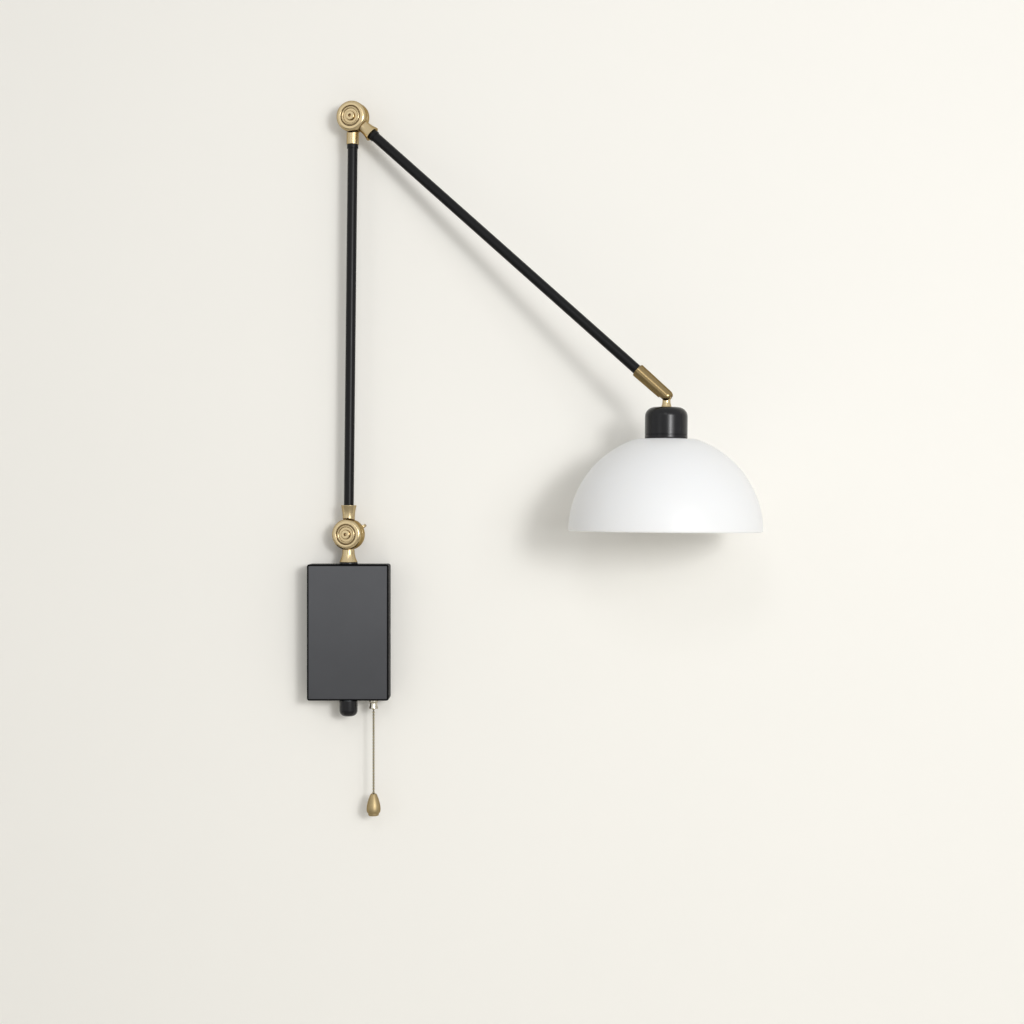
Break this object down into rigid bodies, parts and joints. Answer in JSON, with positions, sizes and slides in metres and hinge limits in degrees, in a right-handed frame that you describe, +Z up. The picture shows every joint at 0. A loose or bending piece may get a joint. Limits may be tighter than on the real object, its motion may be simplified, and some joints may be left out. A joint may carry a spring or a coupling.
{
  "type": "swing arm wall lamp",
  "caption": "Wall lamp with a pull-chain wall box, a swivel, folding tube arms on friction knuckles and a hanging half-round opal glass shade",
  "frame": {"origin": "centre of the back plate's rear face, on the wall plane", "axes": "+Z up, +Y into the wall, so the lamp stands out toward -Y, and +X to the right as seen from the room"},
  "size_m": [0.4246, 0.1899, 0.6832],
  "materials": {
    "graphite_paint": "satin",
    "black_paint": "satin",
    "zinc_steel": "zinc plated",
    "aged_brass": "satin",
    "dark_brass": "aged",
    "raw_brass": "turned",
    "white_nylon": "moulded",
    "black_plastic": "moulded",
    "fibre": "pressed fibre",
    "black_rubber": "matt",
    "green_sheath": "extruded",
    "wire_sheath": "extruded",
    "porcelain": "glazed",
    "opal_glass": "opal, gloss",
    "frosted_glass": "frosted",
    "nickel_cap": "rolled thread"
  },
  "bodies": {
    "wall_box": {"back_plate": "zinc_steel", "box_cover": "graphite_paint", "cover_screws": "black_paint", "inlet_bush": "black_rubber", "terminal_block": "white_nylon", "terminal_screws": "zinc_steel", "earth_screw": "raw_brass", "earth_wire": "green_sheath", "top_bush": "white_nylon", "bottom_bush": "white_nylon", "swivel_washer": "black_paint", "pull_switch": "black_plastic", "bell_nozzle": "aged_brass", "switch_wire": "wire_sheath", "lamp_lead_tail": "wire_sheath"},
    "swivel": {"swivel_shaft": "zinc_steel", "base_knuckle": "aged_brass", "spring_washer": "zinc_steel", "lock_nut": "raw_brass", "bottom_cap": "black_paint", "swivel_lead": "wire_sheath", "base_friction_washer": "fibre", "base_trim_ring": "aged_brass", "base_pivot_screw": "aged_brass"},
    "base_wing": {"base_wing_nut": "aged_brass"},
    "lower_arm": {"foot_knuckle": "aged_brass", "lower_tube": "black_paint", "elbow_back_half": "aged_brass", "lower_arm_lead": "wire_sheath"},
    "upper_arm": {"elbow_front_half": "aged_brass", "elbow_friction_washer": "fibre", "elbow_trim_ring": "aged_brass", "elbow_pivot_screw": "aged_brass", "upper_tube": "black_paint", "end_barrel": "dark_brass", "upper_arm_lead": "wire_sheath"},
    "elbow_wing": {"elbow_wing_nut": "aged_brass"},
    "shade_head": {"neck": "aged_brass", "cup": "black_paint", "cup_nut": "raw_brass", "head_lead": "wire_sheath", "lampholder": "porcelain", "lampholder_shell": "raw_brass", "lampholder_contact": "raw_brass", "shade_gasket": "black_rubber", "glass_shade": "opal_glass", "clamp_ring": "black_plastic", "bulb_cap": "nickel_cap", "bulb_glass": "frosted_glass"},
    "pull_plunger": {"pull_link": "aged_brass"},
    "chain_joint": {"chain_hook": "aged_brass"},
    "chain": {"ball_chain": "aged_brass", "pull_knob": "aged_brass"}
  },
  "joints": [
    {"name": "arm_swivel", "type": "hinge", "parent": "wall_box", "child": "swivel", "pos_m": [0, -0.0215, 0.067], "axis": [0, 0, -1], "range_deg": [-2, 152]},
    {"name": "base_knuckle_turn", "type": "hinge", "parent": "swivel", "child": "lower_arm", "pos_m": [0, -0.0215, 0.0934], "axis": [0.2588, 0.9659, 0], "range_deg": [-2, 60]},
    {"name": "elbow_turn", "type": "hinge", "parent": "lower_arm", "child": "upper_arm", "pos_m": [0.00438, -0.02267, 0.49267], "axis": [-0.2588, -0.9659, 0], "range_deg": [-5, 125]},
    {"name": "shade_tilt", "type": "hinge", "parent": "upper_arm", "child": "shade_head", "pos_m": [0.29777, -0.10129, 0.2211], "axis": [-0.2588, -0.9659, 0], "range_deg": [-50, 38]},
    {"name": "base_wing_turn", "type": "hinge", "parent": "swivel", "child": "base_wing", "pos_m": [0, -0.0215, 0.0934], "axis": [0.2588, 0.9659, 0], "continuous": true},
    {"name": "elbow_wing_turn", "type": "hinge", "parent": "upper_arm", "child": "elbow_wing", "pos_m": [0.00438, -0.02267, 0.49267], "axis": [0.2588, 0.9659, 0], "continuous": true},
    {"name": "chain_pull", "type": "slide", "parent": "wall_box", "child": "pull_plunger", "axis": [0, 0, -1], "range_m": [0, 0.008], "stiffness_N_per_m": 600, "springref_m": -0.002},
    {"name": "chain_sway", "type": "hinge", "parent": "pull_plunger", "child": "chain_joint", "pos_m": [0.024, -0.0215, -0.0709], "axis": [1, 0, 0], "range_deg": [-30, 8]},
    {"name": "chain_swing", "type": "hinge", "parent": "chain_joint", "child": "chain", "pos_m": [0.024, -0.0215, -0.07385], "axis": [0, 1, 0], "range_deg": [-30, 30]}
  ]
}
